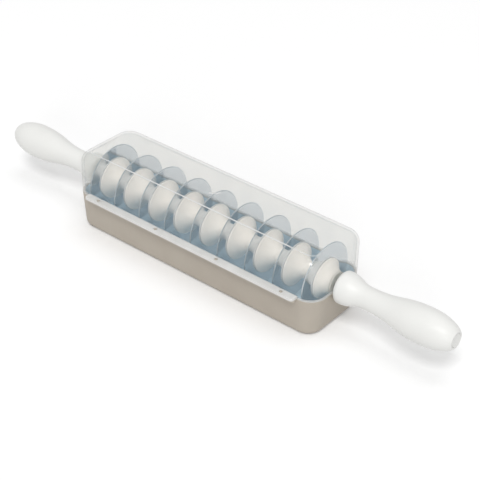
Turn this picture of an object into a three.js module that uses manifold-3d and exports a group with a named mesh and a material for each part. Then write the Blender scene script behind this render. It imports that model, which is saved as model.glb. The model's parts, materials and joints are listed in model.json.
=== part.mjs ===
// Multi-blade dough cutter lying in its storage box.
// Millimetres, +Z up. X runs along the axle, and the front of the box faces -Y.
// The origin is the centre of the tray's underside.

import * as THREE from 'three';
import { mergeVertices } from 'three/addons/utils/BufferGeometryUtils.js';
import Module from 'manifold-3d';

// Blades: the gap between two of them is the width of a dough strip
const BLADE_COUNT = 9;
const STRIP_WIDTH = 25;
const BLADE_DIAMETER = 56;
const BLADE_THICKNESS = 1;
const BLADE_BEVEL = 0.8;

// Spools between the blades, and the hubs outside the end blades
const FLANGE_DIAMETER = 34;
const FLANGE_RIM = 1.2;
const FLANGE_STEP = 0.7;
const FLARE_LENGTH = 10.5;
const FLARE_BOW = 0.35;
const WAIST_WALL = 0.9;
const HUB_LENGTH = 9.1;
const HUB_FLANGE_DIAMETER = 31.5;
const HUB_FLARE_LENGTH = 8.6;
const HUB_NECK_DIAMETER = 18;

// Tube, bearings and axle inside the roller
const AXLE_DIAMETER = 8;
const TUBE_WALL = 0.6;
const BUSH_WALL = 0.6;
const BUSH_LENGTH = 10;
const BUSH_FLANGE = 1.2;
const WASHER_DIAMETER = 18;
const WASHER_THICKNESS = 1;

// Handles and what holds them on the axle
const HANDLE_LENGTH = 95.5;
const HANDLE_FLARE_DIAMETER = 25;
const HANDLE_FLARE_EDGE = 3.5;
const HANDLE_WAIST_DIAMETER = 17;
const HANDLE_WAIST_AT = 24;
const HANDLE_SWELL_DIAMETER = 27.6;
const HANDLE_SWELL_AT = 72;
const HANDLE_END_DIAMETER = 14;
const HANDLE_END_CHAMFER = 3;
const HANDLE_WEB = 5;
const SCREW_DIAMETER = 4;
const SCREW_BITE = 14;
const SCREW_HEAD_DIAMETER = 7;
const SCREW_HEAD_HEIGHT = 3;
const PLUG_DIAMETER = 10.2;
const PLUG_LENGTH = 9;

// Tray and cover
const COVER_WALL = 1.8;
const TRAY_WALL = 1.8;
const TRAY_FLOOR = 2.2;
const TRAY_DRAFT = 2.2;
const TRAY_EDGE_RADIUS = 5;
const BOX_CORNER_RADIUS = 14;
const COVER_EDGE_RADIUS = 8;
const PANEL_STEP = 0.4;
const RIM_BELOW_AXIS = 3;
const GATE_DIAMETER = 10;
const GATE_DEPTH = 0.4;

// Lip along the front of the cover, over a ledge of the tray whose pegs stand in holes of the lip
const LIP_LENGTH = 205;
const LIP_REACH = 5.5;
const LIP_THICKNESS = 2.2;
const LIP_CORNER = 3;
const LEDGE_REACH = 4.2;
const LEDGE_THICKNESS = 2;
const PEG_COUNT = 4;
const PEG_PITCH = 60;
const PEG_DIAMETER = 2.2;
const PEG_PROUD = 0.2;

// Clearances
const FIT_GAP = 0.1;
const RUNNING_GAP = 0.1;
const FACE_GAP = 0.1;
const SEAM_GAP = 0.1;
const SEAT_GAP = 0.2;
const SLOT_GAP = 0.4;
const PEG_GAP = 0.4;
const WASHER_GAP = 0.3;
const PLUG_ROOM = 8.5;
const END_ROOM = 0.7;
const HANDLE_ROOM = 1;
const BLADE_FLOOR_ROOM = 3.8;
const BLADE_SIDE_ROOM = 1.2;
const BLADE_TOP_ROOM = 1;

// Facets
const BLADE_STEPS = 32;
const HANDLE_STEPS = 20;
const TURNED_STEPS = 18;
const CURVE_STEPS = 3;
const FLARE_STEPS = 3;
const CORNER_STEPS = 5;
const FILLET_STEPS = 3;
const SMALL_ROUND_STEPS = 12;

// Places along the axle, measured from its middle
const PITCH = STRIP_WIDTH + BLADE_THICKNESS;
const STACK_END = ((BLADE_COUNT - 1) * PITCH + BLADE_THICKNESS) / 2;
const HUB_START = STACK_END + FACE_GAP;
const HUB_END = HUB_START + HUB_LENGTH;
const WASHER_START = HUB_END + WASHER_GAP;
const WALL_INSIDE = WASHER_START + WASHER_THICKNESS + END_ROOM;
const WALL_OUTSIDE = WALL_INSIDE + COVER_WALL;
const HANDLE_START = WALL_OUTSIDE + HANDLE_ROOM;
const AXLE_IN_HANDLE = HANDLE_LENGTH - PLUG_LENGTH - PLUG_ROOM - SCREW_HEAD_HEIGHT - HANDLE_WEB;
const AXLE_END = HANDLE_START + AXLE_IN_HANDLE;
const HANDLE_END = HANDLE_START + HANDLE_LENGTH;

// Heights above the surface that the tray stands on, and the outside of the box
const BLADE_RADIUS = BLADE_DIAMETER / 2;
const AXIS_HEIGHT = TRAY_FLOOR + BLADE_FLOOR_ROOM + BLADE_RADIUS;
const RIM_HEIGHT = AXIS_HEIGHT - RIM_BELOW_AXIS;
const COVER_START = RIM_HEIGHT + SEAM_GAP;
const COVER_SHOULDER = AXIS_HEIGHT + BLADE_RADIUS + BLADE_TOP_ROOM + COVER_WALL;
const COVER_TOP = COVER_SHOULDER + PANEL_STEP;
const BOX_LENGTH = 2 * WALL_OUTSIDE;
const BOX_WIDTH = 2 * (BLADE_RADIUS + BLADE_SIDE_ROOM + COVER_WALL);
const PEG_OUT = BOX_WIDTH / 2 + LEDGE_REACH / 2;

// Bores
const AXLE_RADIUS = AXLE_DIAMETER / 2;
const BUSH_BORE = AXLE_RADIUS + RUNNING_GAP;
const BUSH_SLEEVE = BUSH_BORE + BUSH_WALL;
const TUBE_BORE = BUSH_SLEEVE + FIT_GAP;
const TUBE_RADIUS = TUBE_BORE + TUBE_WALL;
const ROLLER_BORE = TUBE_RADIUS + FIT_GAP;
const SCREW_RADIUS = SCREW_DIAMETER / 2;
const PLUG_RADIUS = PLUG_DIAMETER / 2;

const QUARTER = Math.PI / 2;

const wasm = await Module();
wasm.setup();

// A closed geometry as a solid that can be joined and cut
function solidOf(geometry) {
  const bare = geometry.clone();
  bare.deleteAttribute('normal');
  bare.deleteAttribute('uv');
  const merged = mergeVertices(bare);
  return new wasm.Manifold(new wasm.Mesh({
    numProp: 3,
    vertProperties: new Float32Array(merged.attributes.position.array),
    triVerts: new Uint32Array(merged.index.array),
  }));
}

// A joined or cut solid as a geometry again
function geometryOf(solid) {
  const mesh = solid.getMesh();
  const geometry = new THREE.BufferGeometry();
  geometry.setAttribute('position', new THREE.BufferAttribute(mesh.vertProperties, 3));
  geometry.setIndex(new THREE.BufferAttribute(mesh.triVerts, 1));
  geometry.computeVertexNormals();
  return geometry;
}

// A piece turned about the X axis, from an outline of radius and distance along the axis
function turned(outline, steps = TURNED_STEPS, curveSteps = CURVE_STEPS) {
  outline.closePath();
  const geometry = new THREE.LatheGeometry(outline.getPoints(curveSteps), steps);
  geometry.rotateZ(-QUARTER);
  return geometry;
}

// The outline of a plain ring between two radii
function ringOutline(inner, outer, length) {
  const outline = new THREE.Path();
  outline.moveTo(inner, 0);
  outline.lineTo(outer, 0);
  outline.lineTo(outer, length);
  outline.lineTo(inner, length);
  return outline;
}

function rodAlongX(radius, length) {
  const geometry = new THREE.CylinderGeometry(radius, radius, length, TURNED_STEPS);
  geometry.rotateZ(QUARTER);
  return geometry;
}

function rodAlongZ(radius, length) {
  const geometry = new THREE.CylinderGeometry(radius, radius, length, SMALL_ROUND_STEPS);
  geometry.rotateX(QUARTER);
  return geometry;
}

// The box's rounded rectangle, drawn in by an inset, at one height
function boxRing(inset, height) {
  const radius = BOX_CORNER_RADIUS - inset;
  const cornerX = BOX_LENGTH / 2 - BOX_CORNER_RADIUS;
  const cornerY = BOX_WIDTH / 2 - BOX_CORNER_RADIUS;
  const corners = [[1, 1], [-1, 1], [-1, -1], [1, -1]];
  return corners.flatMap(([sideX, sideY], corner) => {
    const points = [];
    for (let step = 0; step <= CORNER_STEPS; step += 1) {
      const angle = QUARTER * (corner + step / CORNER_STEPS);
      const x = sideX * cornerX + radius * Math.cos(angle);
      const y = sideY * cornerY + radius * Math.sin(angle);
      points.push(new THREE.Vector3(x, y, height));
    }
    return points;
  });
}

// Rings over a rounded edge, from one angle to another, where 0 is the wall and a quarter turn the top
function edgeRings(wallInset, radius, centreHeight, from, to) {
  const rings = [];
  for (let step = 0; step <= FILLET_STEPS; step += 1) {
    const angle = THREE.MathUtils.lerp(from, to, step / FILLET_STEPS);
    const inset = wallInset + radius * (1 - Math.cos(angle));
    rings.push(boxRing(inset, centreHeight + radius * Math.sin(angle)));
  }
  return rings;
}

// A closed skin over rings of equal count, with both ends capped
function loft(rings) {
  const count = rings[0].length;
  const faces = [];
  for (let level = 0; level + 1 < rings.length; level += 1) {
    for (let point = 0; point < count; point += 1) {
      const here = level * count + point;
      const next = level * count + (point + 1) % count;
      faces.push(here, next, next + count);
      faces.push(here, next + count, here + count);
    }
  }
  const last = (rings.length - 1) * count;
  for (let point = 1; point + 1 < count; point += 1) {
    faces.push(0, point + 1, point);
    faces.push(last, last + point, last + point + 1);
  }
  const geometry = new THREE.BufferGeometry();
  geometry.setFromPoints(rings.flat());
  geometry.setIndex(faces);
  return geometry;
}

// A plate along the front of the box, rooted in the wall, with rounded outer corners
function sidePlate(reach, thickness, root) {
  const inner = BOX_WIDTH / 2 - root;
  const outer = BOX_WIDTH / 2 + reach;
  const half = LIP_LENGTH / 2;
  const shape = new THREE.Shape();
  shape.moveTo(-half, inner);
  shape.lineTo(half, inner);
  shape.lineTo(half, outer - LIP_CORNER);
  shape.absarc(half - LIP_CORNER, outer - LIP_CORNER, LIP_CORNER, 0, QUARTER, false);
  shape.absarc(LIP_CORNER - half, outer - LIP_CORNER, LIP_CORNER, QUARTER, Math.PI, false);
  const options = { depth: thickness, bevelEnabled: false, curveSegments: FILLET_STEPS };
  const plate = new THREE.ExtrudeGeometry(shape, options);
  plate.rotateZ(Math.PI);
  return plate;
}

// A row of round pegs along the front of the box
function pegRow(radius, bottom, top) {
  const row = [];
  for (let peg = 0; peg < PEG_COUNT; peg += 1) {
    const pin = rodAlongZ(radius, top - bottom);
    pin.translate((peg - (PEG_COUNT - 1) / 2) * PEG_PITCH, -PEG_OUT, (bottom + top) / 2);
    row.push(pin);
  }
  return row;
}

function trayGeometry() {
  const drawnIn = (height) => TRAY_DRAFT * (1 - height / RIM_HEIGHT);
  const innerRadius = TRAY_EDGE_RADIUS - TRAY_WALL;
  const innerCentre = TRAY_FLOOR + innerRadius;
  const shell = loft([
    ...edgeRings(drawnIn(TRAY_EDGE_RADIUS), TRAY_EDGE_RADIUS, TRAY_EDGE_RADIUS, -QUARTER, 0),
    boxRing(0, RIM_HEIGHT),
    boxRing(TRAY_WALL, RIM_HEIGHT),
    ...edgeRings(drawnIn(innerCentre) + TRAY_WALL, innerRadius, innerCentre, 0, -QUARTER),
  ]);
  const ledge = sidePlate(LEDGE_REACH, LEDGE_THICKNESS, TRAY_WALL / 2);
  ledge.translate(0, 0, RIM_HEIGHT - LEDGE_THICKNESS);
  const pegTop = COVER_START + LIP_THICKNESS + PEG_PROUD;
  const pegs = pegRow(PEG_DIAMETER / 2, RIM_HEIGHT - LEDGE_THICKNESS / 2, pegTop);
  let solid = solidOf(shell);
  for (const piece of [ledge, ...pegs]) {
    solid = solid.add(solidOf(piece));
  }
  const notch = rodAlongX(AXLE_RADIUS + SEAT_GAP, 2 * BOX_LENGTH);
  notch.translate(0, 0, AXIS_HEIGHT);
  return geometryOf(solid.subtract(solidOf(notch)));
}

function coverGeometry() {
  const centre = COVER_SHOULDER - COVER_EDGE_RADIUS;
  const shell = loft([
    ...edgeRings(COVER_WALL, COVER_EDGE_RADIUS - COVER_WALL, centre, QUARTER, 0),
    boxRing(COVER_WALL, COVER_START),
    boxRing(0, COVER_START),
    ...edgeRings(0, COVER_EDGE_RADIUS, centre, 0, QUARTER),
    boxRing(COVER_EDGE_RADIUS + PANEL_STEP, COVER_TOP),
  ]);
  const lip = sidePlate(LIP_REACH, LIP_THICKNESS, COVER_WALL / 2);
  lip.translate(0, 0, COVER_START);
  let solid = solidOf(shell).add(solidOf(lip));
  const holeRadius = PEG_DIAMETER / 2 + PEG_GAP;
  const holes = pegRow(holeRadius, COVER_START - LIP_THICKNESS, COVER_START + 2 * LIP_THICKNESS);
  const slotRadius = AXLE_RADIUS + SLOT_GAP;
  const slotEnd = rodAlongX(slotRadius, 2 * BOX_LENGTH);
  slotEnd.translate(0, 0, AXIS_HEIGHT);
  const slotDepth = 2 * (AXIS_HEIGHT - COVER_START);
  const slot = new THREE.BoxGeometry(2 * BOX_LENGTH, 2 * slotRadius, slotDepth);
  slot.translate(0, 0, AXIS_HEIGHT - slotDepth / 2);
  const gate = rodAlongZ(GATE_DIAMETER / 2, 2 * GATE_DEPTH);
  gate.translate(0, 0, COVER_TOP);
  for (const cut of [...holes, slotEnd, slot, gate]) {
    solid = solid.subtract(solidOf(cut));
  }
  return geometryOf(solid);
}

function bladeGeometry() {
  const half = BLADE_THICKNESS / 2;
  const outline = new THREE.Path();
  outline.moveTo(ROLLER_BORE, -half);
  outline.lineTo(BLADE_RADIUS - BLADE_BEVEL, -half);
  outline.lineTo(BLADE_RADIUS, 0);
  outline.lineTo(BLADE_RADIUS - BLADE_BEVEL, half);
  outline.lineTo(ROLLER_BORE, half);
  return turned(outline, BLADE_STEPS);
}

// The flange and flare at each end of a spool
const FLANGE_RADIUS = FLANGE_DIAMETER / 2;
const WAIST_RADIUS = ROLLER_BORE + WAIST_WALL;
const FLARE_RADIUS = FLANGE_RADIUS - FLANGE_STEP;

// Takes an outline to a point by a curve drawn a little from its chord toward a corner
function bowTo(outline, cornerX, cornerY, x, y) {
  const from = outline.currentPoint;
  const pullX = THREE.MathUtils.lerp((from.x + x) / 2, cornerX, FLARE_BOW);
  const pullY = THREE.MathUtils.lerp((from.y + y) / 2, cornerY, FLARE_BOW);
  outline.quadraticCurveTo(pullX, pullY, x, y);
}

function spacerGeometry() {
  const half = STRIP_WIDTH / 2 - FACE_GAP;
  const flareEnd = half - FLARE_LENGTH;
  const rim = half - FLANGE_RIM;
  const outline = new THREE.Path();
  outline.moveTo(ROLLER_BORE, -half);
  outline.lineTo(FLANGE_RADIUS, -half);
  outline.lineTo(FLANGE_RADIUS, -rim);
  outline.lineTo(FLARE_RADIUS, -rim);
  bowTo(outline, WAIST_RADIUS, -rim, WAIST_RADIUS, -flareEnd);
  outline.lineTo(WAIST_RADIUS, flareEnd);
  bowTo(outline, WAIST_RADIUS, rim, FLARE_RADIUS, rim);
  outline.lineTo(FLANGE_RADIUS, rim);
  outline.lineTo(FLANGE_RADIUS, half);
  outline.lineTo(ROLLER_BORE, half);
  return turned(outline, TURNED_STEPS, FLARE_STEPS);
}

function hubGeometry() {
  const flange = HUB_FLANGE_DIAMETER / 2;
  const neck = HUB_NECK_DIAMETER / 2;
  const flare = flange - FLANGE_STEP;
  const outline = new THREE.Path();
  outline.moveTo(ROLLER_BORE, 0);
  outline.lineTo(flange, 0);
  outline.lineTo(flange, FLANGE_RIM);
  outline.lineTo(flare, FLANGE_RIM);
  bowTo(outline, neck, FLANGE_RIM, neck, HUB_FLARE_LENGTH);
  outline.lineTo(neck, HUB_LENGTH);
  outline.lineTo(ROLLER_BORE, HUB_LENGTH);
  return turned(outline, TURNED_STEPS, FLARE_STEPS);
}

function tubeGeometry() {
  const half = HUB_END - BUSH_FLANGE - FACE_GAP;
  const geometry = turned(ringOutline(TUBE_BORE, TUBE_RADIUS, 2 * half));
  geometry.translate(-half, 0, 0);
  return geometry;
}

// Its flange fills the mouth of the hub, and its sleeve goes into the tube
function bushGeometry() {
  const outline = new THREE.Path();
  outline.moveTo(BUSH_BORE, -BUSH_LENGTH);
  outline.lineTo(BUSH_SLEEVE, -BUSH_LENGTH);
  outline.lineTo(BUSH_SLEEVE, -BUSH_FLANGE);
  outline.lineTo(TUBE_RADIUS, -BUSH_FLANGE);
  outline.lineTo(TUBE_RADIUS, 0);
  outline.lineTo(BUSH_BORE, 0);
  return turned(outline);
}

// A rod with a screw hole in each end
function axleGeometry() {
  const holeRadius = SCREW_RADIUS + FIT_GAP;
  const holeEnd = AXLE_END - SCREW_BITE - FACE_GAP;
  const outline = new THREE.Path();
  outline.moveTo(0, -holeEnd);
  outline.lineTo(holeRadius, -holeEnd);
  outline.lineTo(holeRadius, -AXLE_END);
  outline.lineTo(AXLE_RADIUS, -AXLE_END);
  outline.lineTo(AXLE_RADIUS, AXLE_END);
  outline.lineTo(holeRadius, AXLE_END);
  outline.lineTo(holeRadius, holeEnd);
  outline.lineTo(0, holeEnd);
  return turned(outline);
}

// A smooth run from where the outline stands to a radius further along, level at both ends
function easeTo(outline, radius, along) {
  const middle = (outline.currentPoint.y + along) / 2;
  outline.bezierCurveTo(outline.currentPoint.x, middle, radius, middle, radius, along);
}

// Blind bore for the axle, a web that the screw clamps, and a well for the screw head and the plug
function handleGeometry() {
  const bore = AXLE_RADIUS + FIT_GAP;
  const boreEnd = AXLE_IN_HANDLE + FACE_GAP;
  const wellStart = boreEnd + HANDLE_WEB;
  const wellRadius = PLUG_RADIUS + FIT_GAP;
  const screwHole = SCREW_RADIUS + FIT_GAP;
  const flare = HANDLE_FLARE_DIAMETER / 2;
  const swell = HANDLE_SWELL_DIAMETER / 2;
  const end = HANDLE_END_DIAMETER / 2;
  const swellRun = (HANDLE_SWELL_AT + HANDLE_LENGTH) / 2;
  const chamferAt = HANDLE_LENGTH - HANDLE_END_CHAMFER;
  const outline = new THREE.Path();
  outline.moveTo(bore, 0);
  outline.lineTo(flare - HANDLE_FLARE_EDGE, 0);
  outline.absarc(flare - HANDLE_FLARE_EDGE, HANDLE_FLARE_EDGE, HANDLE_FLARE_EDGE, -QUARTER, 0, false);
  easeTo(outline, HANDLE_WAIST_DIAMETER / 2, HANDLE_WAIST_AT);
  easeTo(outline, swell, HANDLE_SWELL_AT);
  outline.bezierCurveTo(swell, swellRun, end + HANDLE_END_CHAMFER, chamferAt, end, HANDLE_LENGTH);
  outline.lineTo(wellRadius, HANDLE_LENGTH);
  outline.lineTo(wellRadius, wellStart);
  outline.lineTo(screwHole, wellStart);
  outline.lineTo(screwHole, boreEnd);
  outline.lineTo(bore, boreEnd);
  return turned(outline, HANDLE_STEPS);
}

// The screw's shank ends in the axle, and its head bears on the web of the handle
function screwGeometry() {
  const seat = 2 * FACE_GAP + HANDLE_WEB;
  const outline = new THREE.Path();
  outline.moveTo(0, -SCREW_BITE);
  outline.lineTo(SCREW_RADIUS, -SCREW_BITE);
  outline.lineTo(SCREW_RADIUS, seat);
  outline.lineTo(SCREW_HEAD_DIAMETER / 2, seat);
  outline.lineTo(SCREW_HEAD_DIAMETER / 2, seat + SCREW_HEAD_HEIGHT);
  outline.lineTo(0, seat + SCREW_HEAD_HEIGHT);
  return turned(outline);
}

function plugGeometry() {
  return turned(ringOutline(0, PLUG_RADIUS, PLUG_LENGTH));
}

function washerGeometry() {
  return turned(ringOutline(AXLE_RADIUS + FIT_GAP, WASHER_DIAMETER / 2, WASHER_THICKNESS));
}

// Looks
const taupe = { color: 0xb3a99b, roughness: 0.6, metalness: 0 };
const frosted = { color: 0xdfe1df, roughness: 0.25, metalness: 0, transparent: true, opacity: 0.45 };
const steel = { color: 0x9aa6ae, roughness: 0.3, metalness: 1 };
const brightSteel = { color: 0xc4c8ca, roughness: 0.25, metalness: 1 };
const warmWhite = { color: 0xe9e4dd, roughness: 0.45, metalness: 0 };
const handleWhite = { color: 0xf2f1ee, roughness: 0.4, metalness: 0 };
const nylon = { color: 0xe6e2d6, roughness: 0.5, metalness: 0 };

function piece(name, geometry, look) {
  const mesh = new THREE.Mesh(geometry, new THREE.MeshStandardMaterial(look));
  mesh.name = name;
  return mesh;
}

// Pieces of the cutter are placed along the axle's own line
const cutter = new THREE.Group();
cutter.position.z = AXIS_HEIGHT;
cutter.add(piece('axle', axleGeometry(), brightSteel));
cutter.add(piece('core_tube', tubeGeometry(), brightSteel));
for (let blade = 0; blade < BLADE_COUNT; blade += 1) {
  const mesh = piece(`blade_${blade + 1}`, bladeGeometry(), steel);
  mesh.position.x = (blade - (BLADE_COUNT - 1) / 2) * PITCH;
  cutter.add(mesh);
}
for (let gap = 0; gap + 1 < BLADE_COUNT; gap += 1) {
  const mesh = piece(`spacer_${gap + 1}`, spacerGeometry(), warmWhite);
  mesh.position.x = (gap + 1 - (BLADE_COUNT - 1) / 2) * PITCH - PITCH / 2;
  cutter.add(mesh);
}

// The left end is the right end turned half round
for (const [side, turn] of [['right', 0], ['left', Math.PI]]) {
  const end = new THREE.Group();
  end.rotation.z = turn;
  const placed = [
    ['end_hub', hubGeometry(), warmWhite, HUB_START],
    ['bush', bushGeometry(), nylon, HUB_END],
    ['retaining_washer', washerGeometry(), brightSteel, WASHER_START],
    ['handle', handleGeometry(), handleWhite, HANDLE_START],
    ['handle_screw', screwGeometry(), brightSteel, AXLE_END],
    ['end_plug', plugGeometry(), handleWhite, HANDLE_END - PLUG_LENGTH],
  ];
  for (const [name, geometry, look, along] of placed) {
    const mesh = piece(`${name}_${side}`, geometry, look);
    mesh.position.x = along;
    end.add(mesh);
  }
  cutter.add(end);
}

const doughCutter = new THREE.Group();
doughCutter.add(piece('storage_tray', trayGeometry(), taupe));
doughCutter.add(piece('cover', coverGeometry(), frosted));
doughCutter.add(cutter);

export default doughCutter;
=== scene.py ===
# Multi-blade dough cutter lying in its storage box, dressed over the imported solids.
# Sizes are written in millimetres and become metres when a mesh is made.
import json
import math

import bmesh
import bpy
from mathutils import Matrix, Quaternion, Vector
from mathutils.geometry import tessellate_polygon


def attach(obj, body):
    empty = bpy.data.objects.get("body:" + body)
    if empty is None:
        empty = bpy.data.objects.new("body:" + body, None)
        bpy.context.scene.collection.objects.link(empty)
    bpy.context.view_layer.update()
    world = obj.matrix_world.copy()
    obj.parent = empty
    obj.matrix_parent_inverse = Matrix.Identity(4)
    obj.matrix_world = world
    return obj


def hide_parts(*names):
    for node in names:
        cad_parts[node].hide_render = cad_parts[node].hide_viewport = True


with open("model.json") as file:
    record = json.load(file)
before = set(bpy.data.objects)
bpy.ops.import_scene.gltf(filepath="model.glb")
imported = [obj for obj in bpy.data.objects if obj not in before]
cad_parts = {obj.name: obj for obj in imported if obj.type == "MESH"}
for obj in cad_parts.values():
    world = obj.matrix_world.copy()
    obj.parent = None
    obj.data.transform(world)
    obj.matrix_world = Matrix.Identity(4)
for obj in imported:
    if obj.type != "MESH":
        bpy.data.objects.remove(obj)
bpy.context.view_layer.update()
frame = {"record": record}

MM = 0.001
QUARTER = math.pi / 2

# Clearances
FIT_GAP = 0.1
WASHER_GAP = 0.3
HANDLE_ROOM = 1
PLUG_ROOM = 8.5

# Blades
BLADE_COUNT = 9
BLADE_PITCH = 26
BLADE_RADIUS = 28
BLADE_THICKNESS = 1
BLADE_BEVEL = 0.8
BLADE_BORE_ROUND = 0.1
BLADE_SHOULDER_ROUND = 0.3
BLADE_TIP_ROUND = 0.06

# Spools between the blades and hubs outside the end blades
FLANGE_RADIUS = 17
FLANGE_RIM = 1.2
FLANGE_STEP = 0.7
FLANGE_EDGE = 0.35
WAIST_RADIUS = 6.4
FLARE_LENGTH = 10.5
FLARE_BOW = 0.35
HUB_LENGTH = 9.1
HUB_FLANGE_RADIUS = 15.75
HUB_FLARE_LENGTH = 8.6
HUB_NECK_RADIUS = 9

# Tube, bearings and axle
AXLE_RADIUS = 4
AXLE_CHAMFER = 0.5
TUBE_RADIUS = 5.4
TUBE_WALL = 0.6
TUBE_EDGE = 0.2
BUSH_LENGTH = 10
BUSH_FLANGE = 1.2
BUSH_INNER_EDGE = 0.2
BUSH_OUTER_EDGE = 0.3
WASHER_RADIUS = 9
WASHER_THICKNESS = 1
WASHER_INNER_EDGE = 0.15
WASHER_OUTER_EDGE = 0.25

# Handles and what holds them on the axle
HANDLE_LENGTH = 95.5
HANDLE_FLARE_RADIUS = 12.5
HANDLE_FLARE_EDGE = 3.5
HANDLE_WAIST_RADIUS = 8.5
HANDLE_WAIST_AT = 24
HANDLE_SWELL_RADIUS = 13.8
HANDLE_SWELL_AT = 72
HANDLE_END_RADIUS = 7
HANDLE_END_CHAMFER = 3
HANDLE_END_ROUND = 0.5
HANDLE_WEB = 5
WELL_CHAMFER = 0.2
SCREW_RADIUS = 2
SCREW_BITE = 14
SCREW_POINT_INSET = 0.4
SCREW_POINT_LENGTH = 0.6
SCREW_HEAD_RADIUS = 3.5
SCREW_HEAD_HEIGHT = 3
SCREW_HEAD_EDGE = 0.5
SOCKET_RADIUS = 1.6
SOCKET_FOOT_RADIUS = 1.5
SOCKET_DEPTH = 2
PLUG_RADIUS = 5.1
PLUG_LENGTH = 9
PLUG_EDGE = 0.3
PLUG_RIM = 0.8
PLUG_DISH = 0.35
PLUG_EASE = 1

# Box
AXIS_HEIGHT = 34
BOX_LENGTH = 235
BOX_WIDTH = 62
BOX_CORNER = 14
WALL = 1.8
RIM_HEIGHT = 31
RIM_ROUND = 0.45
NOTCH_RADIUS = 4.2
TRAY_FLOOR = 2.2
TRAY_DRAFT = 2.2
TRAY_EDGE = 5
COVER_START = 31.1
COVER_SHOULDER = 64.8
COVER_EDGE = 8
COVER_SLOT_RADIUS = 4.4
PANEL_STEP = 0.4
PANEL_SLOPE = 1.4
GATE_RADIUS = 5
GATE_SLOPE = 0.8
GATE_DEPTH = 0.4
GATE_NUB_RADIUS = 0.8
# Shares of the gate mark's depth and slope along its wall, and of its depth and nub at the nub's top
GATE_WALL = ((0, 0), (0.2, 0.3), (0.8, 0.7), (1, 1))
GATE_NUB_TOP = (0.4, 0.7)

# Lip of the cover, ledge of the tray and the pegs that join them
LIP_LENGTH = 205
LIP_REACH = 5.5
LIP_THICKNESS = 2.2
LEDGE_REACH = 4.2
LEDGE_THICKNESS = 2
LIP_CORNER = 3
LIP_ROUND = 0.5
PEG_COUNT = 4
PEG_PITCH = 60
PEG_RADIUS = 1.1
PEG_HOLE_RADIUS = 1.5
PEG_PROUD = 0.2
PEG_TOP = COVER_START + LIP_THICKNESS + PEG_PROUD
PEG_OUT = BOX_WIDTH / 2 + LEDGE_REACH / 2

# Places along the axle, measured from its middle
SPOOL_LENGTH = BLADE_PITCH - BLADE_THICKNESS - 2 * FIT_GAP
HUB_START = ((BLADE_COUNT - 1) * BLADE_PITCH + BLADE_THICKNESS) / 2 + FIT_GAP
HUB_END = HUB_START + HUB_LENGTH
HANDLE_START = BOX_LENGTH / 2 + HANDLE_ROOM
AXLE_IN_HANDLE = HANDLE_LENGTH - PLUG_LENGTH - PLUG_ROOM - SCREW_HEAD_HEIGHT - HANDLE_WEB
AXLE_END = HANDLE_START + AXLE_IN_HANDLE
PLUG_START = HANDLE_START + HANDLE_LENGTH - PLUG_LENGTH

# Fineness
ROUND_STEPS = 128
ARC_STEPS = 5
CURVE_STEPS = 24
CORNER_STEPS = 14
FILLET_STEPS = 10
SLOT_STEPS = 12
SHARP_ANGLE = math.radians(50)
ON_AXIS = 1e-6


# Outlines in a plane, as lists of points along and out


def arc(along, out, radius_along, radius_out, start, stop, steps):
    """Points on an ellipse's arc about a centre."""
    points = []
    for step in range(steps + 1):
        angle = start + (stop - start) * step / steps
        points.append((along + radius_along * math.cos(angle), out + radius_out * math.sin(angle)))
    return points


def round_loop(along, out, radius):
    """Points round a whole circle."""
    return arc(along, out, radius, radius, 0, 2 * math.pi, CURVE_STEPS)[:-1]


def bezier(first, second, third, last, steps):
    """Points after the first on a cubic curve."""
    points = []
    for step in range(1, steps + 1):
        share = step / steps
        rest = 1 - share
        weights = (rest**3, 3 * rest * rest * share, 3 * rest * share * share, share**3)
        corners = (first, second, third, last)
        points.append(tuple(sum(w * c[axis] for w, c in zip(weights, corners)) for axis in (0, 1)))
    return points


def rounded(corners):
    """A closed outline through corners of (along, out, radius), each turned into an arc."""
    points = []
    for index, (along, out, radius) in enumerate(corners):
        here = Vector((along, out))
        before = (Vector(corners[index - 1][:2]) - here).normalized()
        after = (Vector(corners[(index + 1) % len(corners)][:2]) - here).normalized()
        half = before.angle(after) / 2
        if radius == 0:
            points.append(tuple(here))
            continue
        reach = radius / math.tan(half)
        start = here + before * reach
        stop = here + after * reach
        for step in range(ARC_STEPS + 1):
            share = step / ARC_STEPS
            rest = 1 - share
            bend = start * rest * rest + here * 2 * rest * share + stop * share * share
            points.append(tuple(bend))
    return points


# Meshes


def finished(name, vertices, faces):
    """A smooth mesh in metres from points in millimetres, with its faces turned out."""
    mesh = bpy.data.meshes.new(name)
    mesh.from_pydata([Vector(v) * MM for v in vertices], [], faces)
    shape = bmesh.new()
    shape.from_mesh(mesh)
    bmesh.ops.recalc_face_normals(shape, faces=shape.faces)
    shape.to_mesh(mesh)
    shape.free()
    mesh.shade_smooth()
    mesh.set_sharp_from_angle(angle=SHARP_ANGLE)
    return mesh


def turned(outline, closed=True):
    """Vertices and faces of an outline of (along, out) turned about the X axis."""
    vertices = []
    rows = []
    for along, out in outline:
        count = 1 if out < ON_AXIS else ROUND_STEPS
        rows.append(range(len(vertices), len(vertices) + count))
        for step in range(count):
            angle = 2 * math.pi * step / ROUND_STEPS
            vertices.append((along, out * math.sin(angle), out * math.cos(angle)))
    pairs = list(zip(rows, rows[1:]))
    if closed:
        pairs.append((rows[-1], rows[0]))
    faces = []
    for low, high in pairs:
        for step in range(ROUND_STEPS):
            after = (step + 1) % ROUND_STEPS
            around = (low[step % len(low)], low[after % len(low)],
                      high[after % len(high)], high[step % len(high)])
            faces.append(tuple(dict.fromkeys(around)))
    return vertices, [f for f in faces if len(f) > 2]


def joined(*parts):
    """Several sets of vertices and faces as one set."""
    vertices = []
    faces = []
    for part_vertices, part_faces in parts:
        first = len(vertices)
        vertices.extend(part_vertices)
        faces.extend(tuple(first + corner for corner in face) for face in part_faces)
    return vertices, faces


def moved(part, matrix):
    vertices, faces = part
    return [matrix @ Vector(v) for v in vertices], faces


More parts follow.
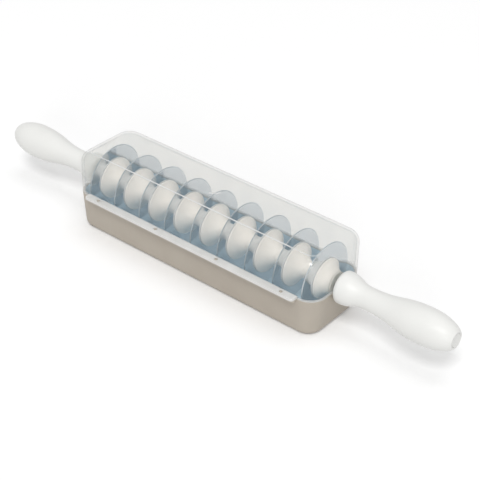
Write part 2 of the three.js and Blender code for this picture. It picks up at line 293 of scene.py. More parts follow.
def skin(rings):
    """Quads between rings of equal count."""
    count = len(rings[0])
    vertices = [point for ring in rings for point in ring]
    faces = []
    for level in range(len(rings) - 1):
        for point in range(count):
            here = level * count + point
            after = level * count + (point + 1) % count
            faces.append((here, after, after + count, here + count))
    return vertices, faces


def capped(outline, holes=()):
    """A flat face over a closed outline, with holes."""
    loops = [[Vector(p) for p in loop] for loop in (outline, *holes)]
    vertices = [point for loop in loops for point in loop]
    return vertices, [tuple(face) for face in tessellate_polygon(loops)]


def box_plan(slot_half, slot_lift):
    """Points round the box: the middle of each bend, the way out, and the height of the end slots there."""
    end_x = BOX_LENGTH / 2 - BOX_CORNER
    end_y = BOX_WIDTH / 2 - BOX_CORNER
    plan = []
    for corner, (side_x, side_y) in enumerate([(1, 1), (-1, 1), (-1, -1), (1, -1)]):
        for step in range(CORNER_STEPS + 1):
            angle = QUARTER * (corner + step / CORNER_STEPS)
            plan.append((side_x * end_x, side_y * end_y, math.cos(angle), math.sin(angle), 0))
        if side_x == side_y:
            continue
        across = [-slot_half * math.cos(math.pi * step / SLOT_STEPS) for step in range(SLOT_STEPS + 1)]
        lifted = [(y, slot_lift(y)) for y in across]
        along_wall = [(-slot_half, 0), *lifted, (slot_half, 0)]
        for y, lift in along_wall:
            plan.append((side_x * end_x, side_x * y, side_x, 0, lift))
    return plan


def box_ring(plan, inset, height, follow=0):
    """The box's outline drawn in by an inset at one height, which follows the slots where asked."""
    out = BOX_CORNER - inset
    return [(x + way_x * out, y + way_y * out, height + follow * lift) for x, y, way_x, way_y, lift in plan]


def edge_rings(plan, wall_inset, radius, height, start, stop):
    """Rings over a rounded edge, where 0 is the wall and a quarter turn the top."""
    rings = []
    for step in range(FILLET_STEPS + 1):
        angle = start + (stop - start) * step / FILLET_STEPS
        inset = wall_inset + radius * (1 - math.cos(angle))
        rings.append(box_ring(plan, inset, height + radius * math.sin(angle)))
    return rings


def rim_rings(plan, outer_inset, height, upwards):
    """Rings over the rounded rim of a wall, from its outer face to its inner one."""
    rings = []
    side = 1 if upwards else -1
    for centre, start in ((outer_inset + RIM_ROUND, 0), (outer_inset + WALL - RIM_ROUND, QUARTER)):
        for step in range(ARC_STEPS + 1):
            angle = start + QUARTER * step / ARC_STEPS
            inset = centre - RIM_ROUND * math.cos(angle)
            rise = side * RIM_ROUND * (math.sin(angle) - 1)
            rings.append(box_ring(plan, inset, height + rise, 1))
    return rings


def plate_outline(reach, root, inset):
    """The plan of the lip or ledge along the front, with its free edges drawn in by an inset."""
    half = LIP_LENGTH / 2 - inset
    inner = BOX_WIDTH / 2 - root
    outer = BOX_WIDTH / 2 + reach - inset
    bend = LIP_CORNER - inset
    right = arc(half - bend, outer - bend, bend, bend, 0, QUARTER, ARC_STEPS)
    left = arc(bend - half, outer - bend, bend, bend, QUARTER, math.pi, ARC_STEPS)
    return [(-x, -y) for x, y in [(-half, inner), (half, inner), *right, *left]]


def peg_places():
    return [((peg - (PEG_COUNT - 1) / 2) * PEG_PITCH, -PEG_OUT) for peg in range(PEG_COUNT)]


def side_plate(reach, thickness, bottom, hole_radius):
    """A plate along the front of the box with rounded edges and a row of peg holes, or none."""
    root = WALL / 2
    levels = []
    for centre, start in ((bottom + LIP_ROUND, -QUARTER), (bottom + thickness - LIP_ROUND, 0)):
        for step in range(ARC_STEPS + 1):
            angle = start + QUARTER * step / ARC_STEPS
            levels.append((LIP_ROUND * (1 - math.cos(angle)), centre + LIP_ROUND * math.sin(angle)))
    rings = [[(x, y, z) for x, y in plate_outline(reach, root, inset)] for inset, z in levels]
    parts = [skin(rings)]
    circles = [round_loop(x, y, hole_radius) for x, y in peg_places()] if hole_radius else []
    for ring in (rings[0], rings[-1]):
        height = ring[0][2]
        parts.append(capped(ring, [[(x, y, height) for x, y in circle] for circle in circles]))
    for circle in circles:
        parts.append(skin([[(x, y, z) for x, y in circle] for z in (bottom, bottom + thickness)]))
    return joined(*parts)


def peg(x, y, bottom, top):
    """An upright peg with a rounded top."""
    dome = arc(top - RIM_ROUND, PEG_RADIUS - RIM_ROUND, RIM_ROUND, RIM_ROUND, QUARTER, 0, ARC_STEPS)
    outline = [(bottom, 0), (bottom, PEG_RADIUS), *dome, (top, 0)]
    upright = Matrix.Translation((x, y, 0)) @ Matrix.Rotation(-QUARTER, 4, "Y")
    return moved(turned(outline, closed=False), upright)


def tray_parts():
    notch_half = math.sqrt(NOTCH_RADIUS**2 - (AXIS_HEIGHT - RIM_HEIGHT) ** 2)
    plan = box_plan(notch_half, lambda y: AXIS_HEIGHT - math.sqrt(NOTCH_RADIUS**2 - y * y) - RIM_HEIGHT)
    inner_edge = TRAY_EDGE - WALL
    inner_bend = TRAY_FLOOR + inner_edge

    def drawn_in(height):
        return TRAY_DRAFT * (1 - height / RIM_HEIGHT)

    outer = [
        *edge_rings(plan, drawn_in(TRAY_EDGE), TRAY_EDGE, TRAY_EDGE, -QUARTER, 0),
        *rim_rings(plan, 0, RIM_HEIGHT, True),
    ]
    inner = [outer[-1], *edge_rings(plan, drawn_in(inner_bend) + WALL, inner_edge, inner_bend, 0, -QUARTER)]
    ledge = side_plate(LEDGE_REACH, LEDGE_THICKNESS, RIM_HEIGHT - LEDGE_THICKNESS, 0)
    pegs = [peg(x, y, RIM_HEIGHT - LEDGE_THICKNESS / 2, PEG_TOP) for x, y in peg_places()]
    whole_ring = [tuple(range(len(plan)))]
    outside = joined(skin(outer), (outer[0], whole_ring), ledge, *pegs)
    return outside, joined(skin(inner), (inner[-1], whole_ring))


def cover_parts():
    plan = box_plan(
        COVER_SLOT_RADIUS,
        lambda y: AXIS_HEIGHT + math.sqrt(max(COVER_SLOT_RADIUS**2 - y * y, 0)) - COVER_START,
    )
    bend = COVER_SHOULDER - COVER_EDGE
    top = COVER_SHOULDER + PANEL_STEP
    slope = []
    for step in range(1, FILLET_STEPS + 1):
        share = step / FILLET_STEPS
        rise = PANEL_STEP * share * share * (3 - 2 * share)
        slope.append(box_ring(plan, COVER_EDGE + PANEL_SLOPE * share, COVER_SHOULDER + rise))
    outside = [*edge_rings(plan, 0, COVER_EDGE, bend, 0, QUARTER), *slope]
    inside = edge_rings(plan, WALL, COVER_EDGE - WALL, bend, 0, QUARTER)
    rings = [*reversed(outside), *rim_rings(plan, 0, COVER_START, False), *inside]
    nub_depth, nub_radius = GATE_NUB_TOP
    gate = [(GATE_DEPTH * depth, GATE_RADIUS - GATE_SLOPE * inward) for depth, inward in GATE_WALL]
    gate += [(GATE_DEPTH, GATE_NUB_RADIUS), (GATE_DEPTH * nub_depth, GATE_NUB_RADIUS * nub_radius)]
    gate_rings = [[(x, y, top - depth) for x, y in round_loop(0, 0, radius)] for depth, radius in gate]
    shell = joined(skin(rings), (rings[-1], [tuple(range(len(plan)))]), capped(rings[0], [gate_rings[0]]))
    dent = joined(skin(gate_rings), (gate_rings[-1], [tuple(range(CURVE_STEPS))]))
    lip = side_plate(LIP_REACH, LIP_THICKNESS, COVER_START, PEG_HOLE_RADIUS)
    return joined(shell, dent), lip


# Outlines of the turned pieces, each from its own start along the axle


def blade_outline():
    half = BLADE_THICKNESS / 2
    shoulder = BLADE_RADIUS - BLADE_BEVEL
    bore = TUBE_RADIUS + FIT_GAP
    return rounded([
        (-half, bore, BLADE_BORE_ROUND),
        (-half, shoulder, BLADE_SHOULDER_ROUND),
        (0, BLADE_RADIUS, BLADE_TIP_ROUND),
        (half, shoulder, BLADE_SHOULDER_ROUND),
        (half, bore, BLADE_BORE_ROUND),
    ])


def bowed(first, corner, last, bow):
    """A curve between two points, drawn by a share from its chord toward a corner."""
    pull = [(a + b) / 2 * (1 - bow) + c * bow for a, b, c in zip(first, last, corner)]
    points = []
    for step in range(CURVE_STEPS + 1):
        share = step / CURVE_STEPS
        points.append(tuple(a * (1 - share) ** 2 + 2 * p * share * (1 - share) + b * share**2
                            for a, p, b in zip(first, pull, last)))
    return points


def flange_outline(start, way, radius, length, waist):
    """The flange and flare of a spool or hub, from its waist out to its flat face at the start."""
    flare_radius = radius - FLANGE_STEP
    edge = FLANGE_EDGE
    rim = start + way * FLANGE_RIM
    flare = bowed((rim, flare_radius), (rim, waist), (start + way * length, waist), FLARE_BOW)
    inner = arc(rim - way * edge, radius - edge, way * edge, edge, 0, QUARTER, ARC_STEPS)
    outer = arc(start + way * edge, radius - edge, -way * edge, edge, QUARTER, 0, ARC_STEPS)
    return [*reversed(flare), *inner, *outer]


def spool_outline():
    half = SPOOL_LENGTH / 2
    bore = TUBE_RADIUS + FIT_GAP
    left = flange_outline(-half, 1, FLANGE_RADIUS, FLARE_LENGTH, WAIST_RADIUS)
    right = flange_outline(half, -1, FLANGE_RADIUS, FLARE_LENGTH, WAIST_RADIUS)
    return [(-half, bore), *reversed(left), *right, (half, bore)]


def hub_outline():
    bore = TUBE_RADIUS + FIT_GAP
    flange = flange_outline(0, 1, HUB_FLANGE_RADIUS, HUB_FLARE_LENGTH, HUB_NECK_RADIUS)
    return [(0, bore), *reversed(flange), (HUB_LENGTH, HUB_NECK_RADIUS), (HUB_LENGTH, bore)]


def handle_outline():
    bore = AXLE_RADIUS + FIT_GAP
    bore_end = AXLE_IN_HANDLE + FIT_GAP
    well = PLUG_RADIUS + FIT_GAP
    well_start = bore_end + HANDLE_WEB
    screw_hole = SCREW_RADIUS + FIT_GAP
    edge = HANDLE_FLARE_EDGE
    flare = (HANDLE_FLARE_EDGE, HANDLE_FLARE_RADIUS)
    waist = (HANDLE_WAIST_AT, HANDLE_WAIST_RADIUS)
    swell = (HANDLE_SWELL_AT, HANDLE_SWELL_RADIUS)
    end = (HANDLE_LENGTH - HANDLE_END_ROUND, HANDLE_END_RADIUS + HANDLE_END_ROUND / 2)
    points = [(0, bore)]
    points += arc(edge, HANDLE_FLARE_RADIUS - edge, -edge, edge, 0, QUARTER, FILLET_STEPS)
    for start, stop in ((flare, waist), (waist, swell)):
        middle = (start[0] + stop[0]) / 2
        points += bezier(start, (middle, start[1]), (middle, stop[1]), stop, CURVE_STEPS)
    run = ((HANDLE_SWELL_AT + HANDLE_LENGTH) / 2, HANDLE_SWELL_RADIUS)
    tuck = (HANDLE_LENGTH - HANDLE_END_CHAMFER, HANDLE_END_RADIUS + HANDLE_END_CHAMFER)
    points += bezier(swell, run, tuck, end, CURVE_STEPS)
    corner = (HANDLE_LENGTH, HANDLE_END_RADIUS)
    face = (HANDLE_LENGTH, HANDLE_END_RADIUS - HANDLE_END_ROUND)
    points += bezier(end, corner, corner, face, ARC_STEPS)
    points += [(HANDLE_LENGTH, well + WELL_CHAMFER), (HANDLE_LENGTH - WELL_CHAMFER, well), (well_start, well)]
    points += [(well_start, screw_hole), (bore_end, screw_hole), (bore_end, bore)]
    return points


def plug_outline():
    edge = PLUG_EDGE
    rim = PLUG_RADIUS - PLUG_RIM
    dish = PLUG_LENGTH - PLUG_DISH
    ease = bezier((PLUG_LENGTH, rim), (dish, rim - PLUG_EASE), (dish, PLUG_EASE), (dish, 0), CURVE_STEPS)
    corner = arc(PLUG_LENGTH - edge, PLUG_RADIUS - edge, edge, edge, QUARTER, 0, ARC_STEPS)
    return [(0, 0), (0, PLUG_RADIUS), *corner, (PLUG_LENGTH, rim), *ease]


def screw_outline():
    seat = 2 * FIT_GAP + HANDLE_WEB
    head = seat + SCREW_HEAD_HEIGHT
    foot = head - SOCKET_DEPTH
    edge = SCREW_HEAD_EDGE
    corner = arc(head - edge, SCREW_HEAD_RADIUS - edge, edge, edge, QUARTER, 0, ARC_STEPS)
    return [
        (-SCREW_BITE, 0),
        (-SCREW_BITE, SCREW_RADIUS - SCREW_POINT_INSET),
        (SCREW_POINT_LENGTH - SCREW_BITE, SCREW_RADIUS),
        (seat, SCREW_RADIUS),
        (seat, SCREW_HEAD_RADIUS),
        *corner,
        (head, SOCKET_RADIUS),
        (foot, SOCKET_FOOT_RADIUS),
        (foot, 0),
    ]


def axle_outline():
    hole = SCREW_RADIUS + FIT_GAP
    hole_end = AXLE_END - SCREW_BITE - FIT_GAP
    chamfer = [(AXLE_END, AXLE_RADIUS - AXLE_CHAMFER), (AXLE_END - AXLE_CHAMFER, AXLE_RADIUS)]
    half = [(hole_end, 0), (hole_end, hole), (AXLE_END, hole), *chamfer]
    other = [(-along, out) for along, out in half]
    return [*other, *reversed(half)]


def tube_outline():
    half = HUB_END - BUSH_FLANGE - FIT_GAP
    inner = TUBE_RADIUS - TUBE_WALL
    corners = [(-half, inner), (-half, TUBE_RADIUS), (half, TUBE_RADIUS), (half, inner)]
    return rounded([(along, out, TUBE_EDGE) for along, out in corners])


def bush_outline():
    bore = AXLE_RADIUS + FIT_GAP
    sleeve = TUBE_RADIUS - TUBE_WALL - FIT_GAP
    return rounded([
        (-BUSH_LENGTH, bore, BUSH_INNER_EDGE),
        (-BUSH_LENGTH, sleeve, BUSH_OUTER_EDGE),
        (-BUSH_FLANGE, sleeve, 0),
        (-BUSH_FLANGE, TUBE_RADIUS, BUSH_INNER_EDGE),
        (0, TUBE_RADIUS, BUSH_OUTER_EDGE),
        (0, bore, BUSH_INNER_EDGE),
    ])


def washer_outline():
    bore = AXLE_RADIUS + FIT_GAP
    return rounded([
        (0, bore, WASHER_INNER_EDGE),
        (0, WASHER_RADIUS, WASHER_OUTER_EDGE),
        (WASHER_THICKNESS, WASHER_RADIUS, WASHER_OUTER_EDGE),
        (WASHER_THICKNESS, bore, WASHER_INNER_EDGE),
    ])


# Materials, with the sizes of clouds, grain and lines in millimetres

# Range in which most of a noise lies, and how many finer layers it has
NOISE_LOW = 0.3
NOISE_HIGH = 0.7
NOISE_LAYERS = 3.0
FINE_LAYERS = 2.0

# Moulded plastics: pale shade, deep shade, roughness, size and depth of the grain
MOULDED = {
    "tray_plastic": ((183, 175, 163), (177, 168, 156), 0.55, 0.5, 0.02),
    # Inner faces of the tray: a paler, bluer copy of the tray's colour, painted light that lifts the shade
    # inside the box and gives it a blue cast
    "tray_inside_painted_light": ((212, 236, 250), (207, 232, 247), 0.5, 0.5, 0.02),
    "handle_plastic": ((235, 235, 232), (231, 231, 228), 0.4, 0.6, 0.006),
    "spool_plastic": ((250, 246, 240), (247, 242, 236), 0.45, 0.6, 0.006),
    "bush_plastic": ((244, 241, 235), (239, 236, 229), 0.45, 0.5, 0.008),
}
PLASTIC_CLOUDS = 30
PLASTIC_SPREAD = 0.06
PLASTIC_IOR = 1.49

# Steel
LINE_DEPTH = 0.002
BLADE_PALE = (219, 223, 228)
BLADE_DEEP = (213, 218, 223)
BLADE_EDGE = (198, 204, 210)
BLADE_EDGE_BLEND = 0.1
BLADE_CLOUDS = 14
BLADE_RINGS = 0.35
BLADE_ROUGHNESS = (0.04, 0.08)
BLADE_CLOUD_ROUGHNESS = 0.03
BLADE_EDGE_ROUGHNESS = 0.28
AXLE_PALE = (206, 208, 209)
AXLE_DEEP = (194, 197, 199)
AXLE_CLOUDS = 9
AXLE_LINES = 0.3
AXLE_ROUGHNESS = (0.2, 0.34)

# Milk in the cover, which turns wholly pale where the painted highlights reach this strength
BLUE_MILK = (0.66, 0.89, 1.0, 1.0)
PALE_MILK = (0.93, 0.93, 0.92, 1.0)
PALE_FROM = 0.5

# Clear plastic of the cover: milky share, colour of the milk and the share of light that it lets through
CLEAR = {
    "cover_plastic": (0.075, BLUE_MILK, 0.45),
    "cover_lip_plastic": (0.68, PALE_MILK, 0.15),
}
CLEAR_TINT = (1.0, 0.985, 0.97, 1.0)
COVER_GRAIN = 0.5
COVER_GRAIN_DEPTH = 0.002
COVER_CLOUDS = 25
HAZE_SPREAD = 0.15
COVER_ROUGHNESS = (0.1, 0.16)
GLOSS_HEAD_ON = 0.04
GLOSS_POWER = 5.0

# Painted highlight: a white line along the cover's lower rim, where its cut edge catches the light, by its
# height over the rim
RIM_PAINTED_GLOW = 0.8
RIM_LINE = 0.5
RIM_LINE_END = 1.2

# Painted highlight: a white line on the step round the panel, which fades toward the ends and toward the back
STEP_PAINTED_HIGHLIGHT = 0.9
STEP_FADED = 0.4
STEP_FADE_START = 84
STEP_FADE_END = 98
STEP_TAIL_START = -17
STEP_TAIL_END = -5
STEP_LINE = 0.4
STEP_LINE_END = 0.49

# Painted highlight: a white arc of the gate mark, on the side that faces the light
GATE_PAINTED_HIGHLIGHT = 1.0
GATE_ARC_RADIUS = 5.6
GATE_ARC_HALF = 0.9
GATE_ARC_CORE = 0.7
GATE_ARC_WAY = (0.67, -0.74)
GATE_ARC_START = 0.5
GATE_ARC_WHOLE = 0.8


class Shader:
    """A material's node tree with short ways to add and join nodes."""

    def __init__(self, name):
        self.material = bpy.data.materials.new(name)
        self.material.use_nodes = True
        self.tree = self.material.node_tree
        self.tree.nodes.clear()
        self.output = self.add("ShaderNodeOutputMaterial")

    def add(self, kind, **settings):
        node = self.tree.nodes.new(kind)
        for key, value in settings.items():
            setattr(node, key, value)
        return node

    def feed(self, socket, value):
        """Sets a socket, or joins it to another node's output."""
        if isinstance(value, bpy.types.NodeSocket):
            self.tree.links.new(value, socket)
        else:
            socket.default_value = value

    def place(self):
        return self.add("ShaderNodeTexCoord").outputs["Object"]

    def noise(self, where, size, layers=NOISE_LAYERS):
        """Noise between 0 and 1 whose features are about a size in millimetres."""
        node = self.add("ShaderNodeTexNoise")
        self.feed(node.inputs["Vector"], where)
        self.feed(node.inputs["Scale"], 1 / (size * MM))
        self.feed(node.inputs["Detail"], layers)
        return node.outputs["Fac"]

    def ranged(self, value, low, high, start=0.0, stop=1.0):
        """A value's range from start to stop turned into low to high."""
        node = self.add("ShaderNodeMapRange")
        self.feed(node.inputs["Value"], value)
        self.feed(node.inputs["From Min"], start)
        self.feed(node.inputs["From Max"], stop)
        self.feed(node.inputs["To Min"], low)
        self.feed(node.inputs["To Max"], high)
        return node.outputs["Result"]

    def spread(self, noise, low, high):
        """A noise turned into low to high."""
        return self.ranged(noise, low, high, NOISE_LOW, NOISE_HIGH)

    def maths(self, operation, first, second=0.0):
        node = self.add("ShaderNodeMath", operation=operation)
        self.feed(node.inputs[0], first)
        self.feed(node.inputs[1], second)
        return node.outputs[0]

    def split(self, where):
        """The three coordinates of a place."""
        node = self.add("ShaderNodeSeparateXYZ")
        self.feed(node.inputs[0], where)
        return tuple(node.outputs[axis] for axis in "XYZ")

    def apart(self, value, middle):
        """How far a value is from a middle one."""
        return self.maths("ABSOLUTE", self.maths("SUBTRACT", value, middle))

    def reach(self, first, second):
        """The distance that two sides at right angles make."""
        squares = [self.maths("MULTIPLY", side, side) for side in (first, second)]
        return self.maths("SQRT", self.maths("ADD", *squares))

    def product(self, first, *others):
        for other in others:
            first = self.maths("MULTIPLY", first, other)
        return first

    def blended(self, share, first, second):
        """A colour between two others."""
        node = self.add("ShaderNodeMix", data_type="RGBA")
        self.feed(node.inputs["Factor"], share)
        self.feed(node.inputs["A"], first)
        self.feed(node.inputs["B"], second)
        return node.outputs["Result"]

    def bump(self, height, depth):
        """A normal from a height of 0 to 1 that stands for a depth in millimetres."""
        node = self.add("ShaderNodeBump")
        self.feed(node.inputs["Height"], height)
        self.feed(node.inputs["Strength"], 1.0)
        self.feed(node.inputs["Distance"], depth * MM)
        return node.outputs["Normal"]

    def principled(self, **inputs):
        node = self.add("ShaderNodeBsdfPrincipled")
        for key, value in inputs.items():
            self.feed(node.inputs[key.replace("_", " ")], value)
        return node.outputs["BSDF"]

    def diffuse(self, value, kind="ShaderNodeBsdfDiffuse"):
        node = self.add(kind)
        self.feed(node.inputs["Color"], value)
        return node.outputs[0]

    def mixed(self, share, first, second):
        """A shader between two others."""
        node = self.add("ShaderNodeMixShader")
        self.feed(node.inputs[0], share)
        self.feed(node.inputs[1], first)
        self.feed(node.inputs[2], second)
        return node.outputs[0]

    def show(self, shader):
        self.feed(self.output.inputs["Surface"], shader)
        return self.material


def colour(red, green, blue):
    """A linear colour from the 0 to 255 values that a screen shows."""
    def linear(level):
        share = level / 255
        return share / 12.92 if share <= 0.04045 else ((share + 0.055) / 1.055) ** 2.4

    return (linear(red), linear(green), linear(blue), 1.0)


def moulded_plastic(name, pale, deep, roughness, grain, depth):
    """Moulded plastic with faint clouds of shade and a fine grain."""
    shader = Shader(name)
    where = shader.place()
    clouds = shader.noise(where, PLASTIC_CLOUDS)
    fine = shader.noise(where, grain)
    return shader.show(shader.principled(
        Base_Color=shader.blended(shader.spread(clouds, 0.0, 1.0), colour(*pale), colour(*deep)),
        Roughness=shader.spread(fine, roughness - PLASTIC_SPREAD, roughness + PLASTIC_SPREAD),
        Normal=shader.bump(fine, depth),
        IOR=PLASTIC_IOR,
    ))


def line_noise(shader, value, spacing):
    """Noise along one value, which gives lines about a spacing in millimetres apart."""
    node = shader.add("ShaderNodeTexNoise", noise_dimensions="1D")
    shader.feed(node.inputs["W"], value)
    shader.feed(node.inputs["Scale"], 1 / (spacing * MM))
    shader.feed(node.inputs["Detail"], FINE_LAYERS)
    return node.outputs["Fac"]


def blade_steel():
    """Polished steel with fine rings from grinding and a duller ground edge."""
    shader = Shader("blade_steel")
    where = shader.place()
    _, deep, height = shader.split(where)
    distance = shader.reach(deep, shader.maths("SUBTRACT", height, AXIS_HEIGHT * MM))
    rings = line_noise(shader, distance, BLADE_RINGS)
    clouds = shader.noise(where, BLADE_CLOUDS)
    shoulder = BLADE_RADIUS - BLADE_BEVEL
    edge = shader.ranged(distance, 0.0, 1.0, shoulder * MM, (shoulder + BLADE_EDGE_BLEND) * MM)
    face = shader.blended(clouds, colour(*BLADE_PALE), colour(*BLADE_DEEP))
    cloud_roughness = shader.ranged(clouds, 0.0, BLADE_CLOUD_ROUGHNESS)
    polish = shader.maths("ADD", shader.spread(rings, *BLADE_ROUGHNESS), cloud_roughness)
    return shader.show(shader.principled(
        Base_Color=shader.blended(edge, face, colour(*BLADE_EDGE)),
        Metallic=1.0,
        Roughness=shader.maths("ADD", polish, shader.maths("MULTIPLY", edge, BLADE_EDGE_ROUGHNESS)),
        Normal=shader.bump(rings, LINE_DEPTH),
    ))


def axle_steel():
    """Bright steel with fine lines from turning."""
    shader = Shader("axle_steel")
    where = shader.place()
    along, _, _ = shader.split(where)
    lines = line_noise(shader, along, AXLE_LINES)
    clouds = shader.noise(where, AXLE_CLOUDS)
    return shader.show(shader.principled(
        Base_Color=shader.blended(clouds, colour(*AXLE_PALE), colour(*AXLE_DEEP)),
        Metallic=1.0,
        Roughness=shader.spread(lines, *AXLE_ROUGHNESS),
        Normal=shader.bump(lines, LINE_DEPTH),
    ))


def painted_rim_highlight(shader, height):
    """Painted highlight along the cover's lower rim, where its cut edge catches the light."""
    start = (COVER_START + RIM_LINE) * MM
    return shader.ranged(height, RIM_PAINTED_GLOW, 0.0, start, (COVER_START + RIM_LINE_END) * MM)


def painted_step_highlight(shader, along, deep, height):
    """Painted highlight on the step round the cover's panel."""
    from_step = shader.apart(height, (COVER_SHOULDER + PANEL_STEP / 2) * MM)
    on_step = shader.ranged(from_step, 1.0, 0.0, PANEL_STEP * STEP_LINE * MM, PANEL_STEP * STEP_LINE_END * MM)
    from_middle = shader.maths("ABSOLUTE", along)
    crisp = shader.ranged(from_middle, STEP_PAINTED_HIGHLIGHT, STEP_FADED, STEP_FADE_START * MM, STEP_FADE_END * MM)
    tail = shader.ranged(deep, 1.0, 0.0, STEP_TAIL_START * MM, STEP_TAIL_END * MM)
    return shader.product(crisp, tail, on_step)


def painted_gate_highlight(shader, along, deep, height):
    """Painted highlight on the arc of the gate mark that faces the light."""
    from_ring = shader.apart(shader.reach(along, deep), GATE_ARC_RADIUS * MM)
    ring = shader.ranged(from_ring, GATE_PAINTED_HIGHLIGHT, 0.0, GATE_ARC_HALF * GATE_ARC_CORE * MM, GATE_ARC_HALF * MM)
    toward = shader.maths("ADD", shader.maths("MULTIPLY", along, GATE_ARC_WAY[0]),
                          shader.maths("MULTIPLY", deep, GATE_ARC_WAY[1]))
    start = GATE_ARC_RADIUS * GATE_ARC_START * MM
    facing = shader.ranged(toward, 0.0, 1.0, start, GATE_ARC_RADIUS * GATE_ARC_WHOLE * MM)
    on_top = shader.maths("GREATER_THAN", height, (COVER_SHOULDER - WALL / 2) * MM)
    return shader.product(ring, facing, on_top)


def clear_plastic(name, haze, milk_colour, through):
    """Clear plastic with a milky share, whitened by painted highlights at its rim, at the step round its
    panel and at its gate mark.

    The milk lets a share of its light through.
    """
    shader = Shader(name)
    where = shader.place()
    fine = shader.noise(where, COVER_GRAIN, FINE_LAYERS)
    clouds = shader.noise(where, COVER_CLOUDS)
    along, deep, height = shader.split(where)
    # Painted highlights at the rim, the panel step and the gate mark, which whiten the milk
    lines = shader.maths("MAXIMUM", painted_rim_highlight(shader, height), painted_step_highlight(shader, along, deep, height))
    white = shader.maths("MAXIMUM", lines, painted_gate_highlight(shader, along, deep, height))
    haziness = shader.spread(clouds, haze * (1 - HAZE_SPREAD), haze * (1 + HAZE_SPREAD))
    clear = shader.diffuse(CLEAR_TINT, "ShaderNodeBsdfTransparent")
    tint = shader.blended(shader.ranged(white, 0.0, 1.0, 0.0, PALE_FROM), milk_colour, PALE_MILK)
    milk = shader.mixed(through, shader.diffuse(tint), shader.diffuse(tint, "ShaderNodeBsdfTranslucent"))
    body = shader.mixed(shader.maths("MAXIMUM", white, haziness), clear, milk)
    gloss = shader.add("ShaderNodeBsdfGlossy")
    shader.feed(gloss.inputs["Roughness"], shader.ranged(fine, *COVER_ROUGHNESS))
    shader.feed(gloss.inputs["Normal"], shader.bump(fine, COVER_GRAIN_DEPTH))
    facing = shader.add("ShaderNodeLayerWeight")
    slant = shader.maths("POWER", facing.outputs["Facing"], GLOSS_POWER)
    return shader.show(shader.mixed(shader.ranged(slant, GLOSS_HEAD_ON, 1.0), body, gloss.outputs[0]))


materials = {name: moulded_plastic(name, *look) for name, look in MOULDED.items()}
materials.update({name: clear_plastic(name, *look) for name, look in CLEAR.items()})
materials["blade_steel"] = blade_steel()
materials["axle_steel"] = axle_steel()


# Pieces, each standing for its solid

bodies = frame["record"]["behaviour"]["bodies"]
body_of = {node: body for body, nodes in bodies.items() for node in nodes}
slot_of = {part["node"]: part["material_slot"] for part in frame["record"]["subparts"]}


def dress(node, part):
    """A piece that stands for one solid, with that solid's finish."""
    mesh = finished(f"{node}_look", *part)
    piece = bpy.data.objects.new(mesh.name, mesh)
    bpy.context.collection.objects.link(piece)
    mesh.materials.append(materials[slot_of[node]])
    even = piece.modifiers.new("even_shading", "WEIGHTED_NORMAL")
    even.keep_sharp = True
    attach(piece, body_of[node])
    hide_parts(node)
    return piece


def dress_in_two(node, main, rest, finish):
    """A piece in two parts, of which the second has a finish of its own."""
    piece = dress(node, joined(main, rest))
    piece.data.materials.append(finish)
    for face in piece.data.polygons[len(main[1]):]:
        face.material_index = 1


def dress_turned(node, outline, start, side=1, closed=True):
    """A turned piece on the axle's line, whose left copy is the right one turned half round."""
    turn = Matrix.Rotation(0 if side > 0 else math.pi, 4, "Z")
    lift = Matrix.Translation((0, 0, AXIS_HEIGHT))
    return dress(node, moved(turned(outline, closed), lift @ turn @ Matrix.Translation((start, 0, 0))))


for blade in range(BLADE_COUNT):
    dress_turned(f"blade_{blade + 1}", blade_outline(), (blade - (BLADE_COUNT - 1) / 2) * BLADE_PITCH)
for gap in range(BLADE_COUNT - 1):
    dress_turned(f"spacer_{gap + 1}", spool_outline(), (gap + 1 - BLADE_COUNT / 2) * BLADE_PITCH)
dress_turned("axle", axle_outline(), 0, closed=False)
dress_turned("core_tube", tube_outline(), 0)

for side, way in (("right", 1), ("left", -1)):
    dress_turned(f"end_hub_{side}", hub_outline(), HUB_START, way)
    dress_turned(f"bush_{side}", bush_outline(), HUB_END, way)
    dress_turned(f"retaining_washer_{side}", washer_outline(), HUB_END + WASHER_GAP, way)
    dress_turned(f"handle_{side}", handle_outline(), HANDLE_START, way)
    dress_turned(f"handle_screw_{side}", screw_outline(), AXLE_END, way, closed=False)
    dress_turned(f"end_plug_{side}", plug_outline(), PLUG_START, way, closed=False)

# The tray's inner faces take the paler, bluer copy of its colour, which is painted light
dress_in_two("storage_tray", *tray_parts(), materials["tray_inside_painted_light"])
dress_in_two("cover", *cover_parts(), materials["cover_lip_plastic"])


# Floor, light and camera

FLOOR_SIZE = 8000
FLOOR_DROP = 0.05
FLOOR_SHADE = 0.97
FLOOR_GLOW = 0.07
FLOOR_PALE = 0.78


def seen_directly(shader):
    """1 for rays from the camera or a mirror, and through clear pieces, and otherwise 0."""
    path = shader.add("ShaderNodeLightPath")
    seen = shader.maths("MAXIMUM", path.outputs["Is Camera Ray"], path.outputs["Is Glossy Ray"])
    return shader.maths("MAXIMUM", seen, path.outputs["Is Transmission Ray"])


def floor_white():
    """A pale floor that takes shadows, and looks as white as paper where it has none."""
    shader = Shader("floor_white")
    plain = shader.diffuse((FLOOR_PALE, FLOOR_PALE, FLOOR_PALE, 1.0))
    shaded = shader.diffuse((FLOOR_SHADE, FLOOR_SHADE, FLOOR_SHADE, 1.0))
    glow = shader.add("ShaderNodeEmission")
    shader.feed(glow.inputs["Strength"], FLOOR_GLOW)
    lit = shader.add("ShaderNodeAddShader")
    shader.feed(lit.inputs[0], shaded)
    shader.feed(lit.inputs[1], glow.outputs[0])
    return shader.show(shader.mixed(seen_directly(shader), plain, lit.outputs[0]))


half_floor = FLOOR_SIZE / 2
ways = ((-1, -1), (1, -1), (1, 1), (-1, 1))
floor_corners = [(x * half_floor, y * half_floor, -FLOOR_DROP) for x, y in ways]
floor_mesh = finished("floor", floor_corners, [(0, 1, 2, 3)])
floor_mesh.materials.append(floor_white())
floor = bpy.data.objects.new("floor", floor_mesh)
bpy.context.collection.objects.link(floor)

SURROUND = 0.64

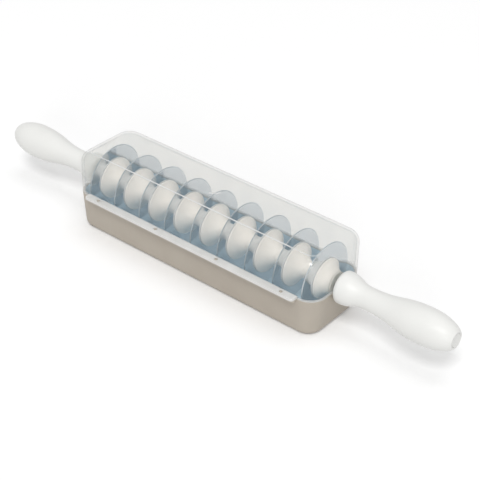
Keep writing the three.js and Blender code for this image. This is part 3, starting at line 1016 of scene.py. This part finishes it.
world = bpy.data.worlds.new("studio")
bpy.context.scene.world = world
world.use_nodes = True
sky = world.node_tree
sky.nodes.clear()
sky_path = sky.nodes.new("ShaderNodeLightPath")
sky_seen = sky.nodes.new("ShaderNodeMath")
sky_seen.operation = "MAXIMUM"
sky.links.new(sky_path.outputs["Is Camera Ray"], sky_seen.inputs[0])
sky.links.new(sky_path.outputs["Is Glossy Ray"], sky_seen.inputs[1])
sky_level = sky.nodes.new("ShaderNodeMapRange")
sky.links.new(sky_seen.outputs[0], sky_level.inputs["Value"])
sky_level.inputs["To Min"].default_value = SURROUND
sky_level.inputs["To Max"].default_value = 1.0
sky_light = sky.nodes.new("ShaderNodeBackground")
sky.links.new(sky_level.outputs["Result"], sky_light.inputs["Strength"])
sky_out = sky.nodes.new("ShaderNodeOutputWorld")
sky.links.new(sky_light.outputs[0], sky_out.inputs["Surface"])

MIDDLE = Vector((0, 0, AXIS_HEIGHT)) * MM


def softbox(name, way, distance, length, depth, brightness):
    """A flat lamp that faces the box's middle, long along the axle, as bright as its surface is."""
    lamp = bpy.data.lights.new(name, "AREA")
    lamp.shape = "RECTANGLE"
    lamp.size = length * MM
    lamp.size_y = depth * MM
    lamp.energy = brightness * math.pi * lamp.size * lamp.size_y
    toward = Vector(way).normalized()
    across = toward.cross(Vector((1, 0, 0))).normalized()
    along = across.cross(toward)
    turn = Matrix((along, across, toward)).transposed()
    holder = bpy.data.objects.new(name, lamp)
    holder.matrix_world = Matrix.Translation(MIDDLE + toward * distance * MM) @ turn.to_4x4()
    holder.visible_camera = False
    bpy.context.collection.objects.link(holder)


softbox("near_box", way=(0.55, -0.78, 0.3), distance=7800, length=2400, depth=2400, brightness=5.4)
softbox("key_box", way=(0.28, -0.48, 0.83), distance=7800, length=2700, depth=2400, brightness=11.0)
softbox("top_box", way=(0.0, 0.2, 0.98), distance=7200, length=4200, depth=4200, brightness=1.4)

CAMERA_PLACE = Vector((528.7, -629.2, 575.8)) * MM
CAMERA_AIM = Vector((24.29, 1.46, 30.0)) * MM
CAMERA_ROLL = math.radians(1.56)
CAMERA_LENS = 97.46

camera_data = bpy.data.cameras.new("camera")
camera_data.lens = CAMERA_LENS
camera = bpy.data.objects.new("camera", camera_data)
camera.location = CAMERA_PLACE
camera.rotation_mode = "QUATERNION"
view = (CAMERA_AIM - CAMERA_PLACE).to_track_quat("-Z", "Y")
camera.rotation_quaternion = view @ Quaternion((0, 0, 1), CAMERA_ROLL)
bpy.context.collection.objects.link(camera)
bpy.context.scene.camera = camera
bpy.context.scene.view_settings.view_transform = "Standard"
